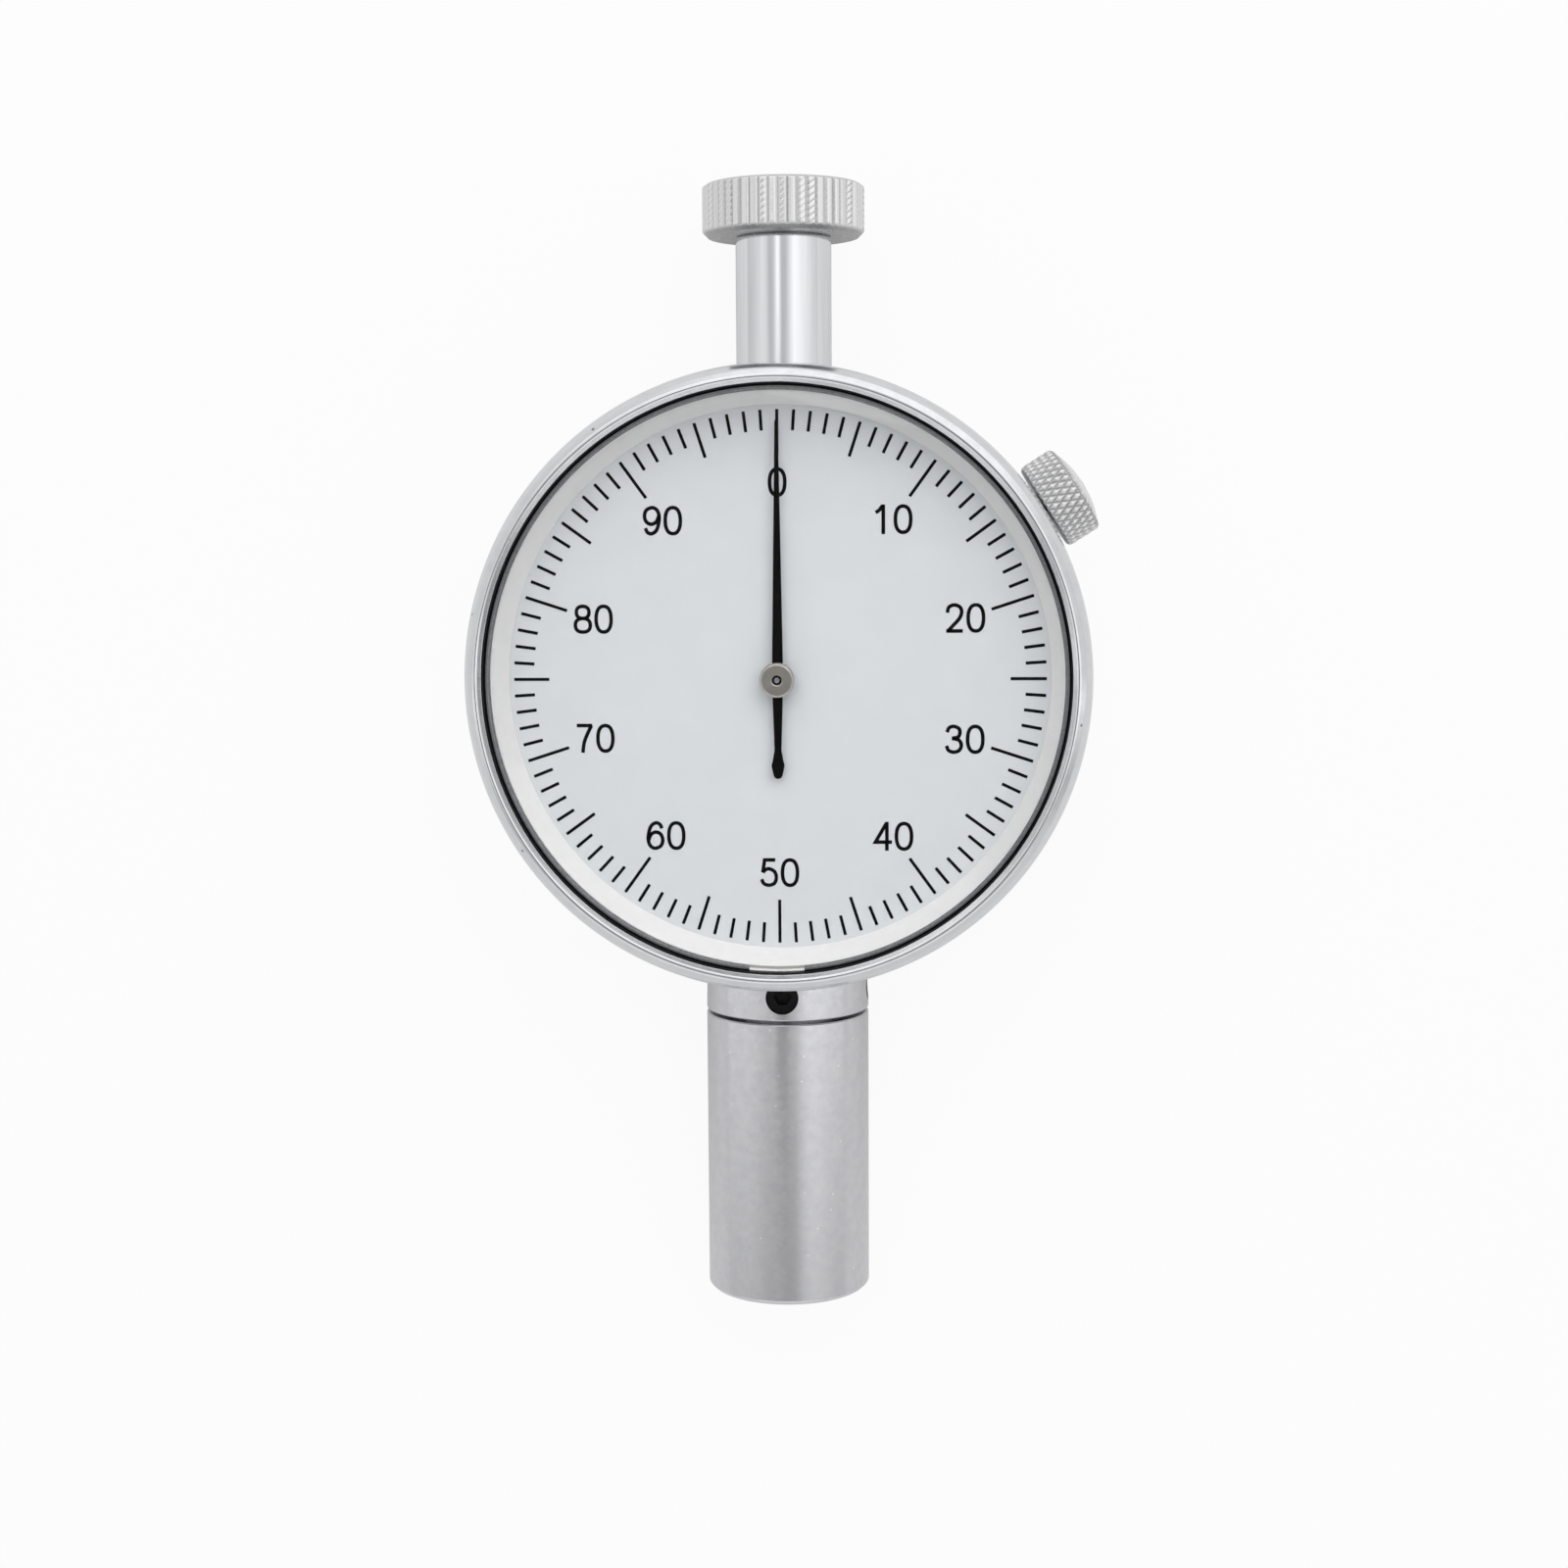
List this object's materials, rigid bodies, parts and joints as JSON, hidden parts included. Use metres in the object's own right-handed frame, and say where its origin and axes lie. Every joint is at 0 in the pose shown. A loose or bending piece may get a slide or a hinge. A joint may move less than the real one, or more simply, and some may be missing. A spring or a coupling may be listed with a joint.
{
  "type": "dial durometer",
  "caption": "Hand-held dial hardness gauge: round dial under glass, knurled cap on a polished stem, and a cylindrical pressing foot with a sprung needle.",
  "frame": {"origin": "middle of the back cover's outer face, under the pointer's axis; the gauge lies on this face", "axes": "+Z out of the dial, +Y from the pressing foot to the knurled cap (12 on the dial), +X to 3 on the dial"},
  "size_m": [0.0616, 0.1152, 0.0251],
  "materials": {
    "polished_chrome": "mirror-polished chrome plate",
    "satin_chrome": "fine bead-blasted satin chrome on steel",
    "bezel_chrome": "turned and polished chrome plate",
    "case_alloy": "satin plated die-cast alloy",
    "knurled_nickel": "knurled, worn nickel plate",
    "dial_enamel": "matt pale blue-grey enamel",
    "satin_aluminium": "satin, turned cone",
    "crystal_glass": "clear flat crystal",
    "black_enamel": "matt black",
    "turned_nickel": "turned nickel",
    "black_oxide": "black oxide on steel",
    "spring_steel": "drawn spring wire",
    "ground_steel": "ground steel",
    "movement_brass": "turned and cut brass"
  },
  "bodies": {
    "case": {"case_body": "case_alloy", "back_cover": "case_alloy", "back_cover_screws": "ground_steel", "lower_collar": "satin_chrome", "presser_foot": "satin_chrome", "foot_set_screws": "black_oxide", "foot_guide_bush": "movement_brass", "spring_adjuster": "ground_steel", "main_spring": "spring_steel", "upper_stem": "polished_chrome", "top_cap": "knurled_nickel", "movement_bridge": "movement_brass", "bridge_pillars": "movement_brass", "bridge_screws": "ground_steel", "centre_bush": "movement_brass", "hairspring": "spring_steel", "hairspring_stud": "movement_brass"},
    "bezel": {"bezel": "bezel_chrome", "dial_plate": "dial_enamel", "dial_spacer_ring": "satin_aluminium", "crystal": "crystal_glass", "crystal_snap_wire": "spring_steel"},
    "indenter": {"spindle": "ground_steel", "indenter_needle": "ground_steel", "spindle_guide_pin": "ground_steel"},
    "idler": {"idler_arbor": "ground_steel", "idler_wheel": "movement_brass"},
    "takeup": {"takeup_arbor": "ground_steel", "takeup_wheel": "movement_brass", "hairspring_collet": "movement_brass"},
    "pointer": {"centre_arbor": "ground_steel", "pointer_hub": "turned_nickel", "pointer_hand": "black_enamel"},
    "clamp_shoe": {"clamp_shoe": "movement_brass"},
    "clamp_screw": {"clamp_screw": "knurled_nickel"}
  },
  "joints": [
    {"name": "indenter_press", "type": "slide", "parent": "case", "child": "indenter", "axis": [0, 1, 0], "range_m": [0, 0.0025], "stiffness_N_per_m": 17780, "deforming": ["main_spring", "hairspring"]},
    {"name": "idler_turn", "type": "hinge", "parent": "case", "child": "idler", "pos_m": [-0.00369, -0.00983, 0.0091], "axis": [0, 0, 1], "range_deg": [-0.2, 60.2]},
    {"name": "pointer_turn", "type": "hinge", "parent": "case", "child": "pointer", "pos_m": [0, 0, 0.0091], "axis": [0, 0, 1], "range_deg": [-361, 1]},
    {"name": "takeup_turn", "type": "hinge", "parent": "case", "child": "takeup", "pos_m": [0.00811, 0.00667, 0.0091], "axis": [0, 0, 1], "range_deg": [-0.2, 60.2]},
    {"name": "bezel_turn", "type": "hinge", "parent": "case", "child": "bezel", "pos_m": [0, 0, 0.0157], "axis": [0, 0, 1], "continuous": true},
    {"name": "clamp_shoe_slide", "type": "slide", "parent": "case", "child": "clamp_shoe", "axis": [0.8434, 0.5373, 0], "range_m": [0, 0.0005]},
    {"name": "clamp_screw_turn", "type": "hinge", "parent": "clamp_shoe", "child": "clamp_screw", "pos_m": [0.02615, 0.01666, 0.01555], "axis": [0.8434, 0.5373, 0], "range_deg": [-1, 361]}
  ],
  "couplings": [
    {"joint": "idler_turn", "follows": "indenter_press", "rad_per_m": 418.88},
    {"joint": "pointer_turn", "follows": "indenter_press", "rad_per_m": -2513.3},
    {"joint": "takeup_turn", "follows": "indenter_press", "rad_per_m": 418.88},
    {"joint": "clamp_screw_turn", "follows": "clamp_shoe_slide", "rad_per_m": 12566}
  ]
}
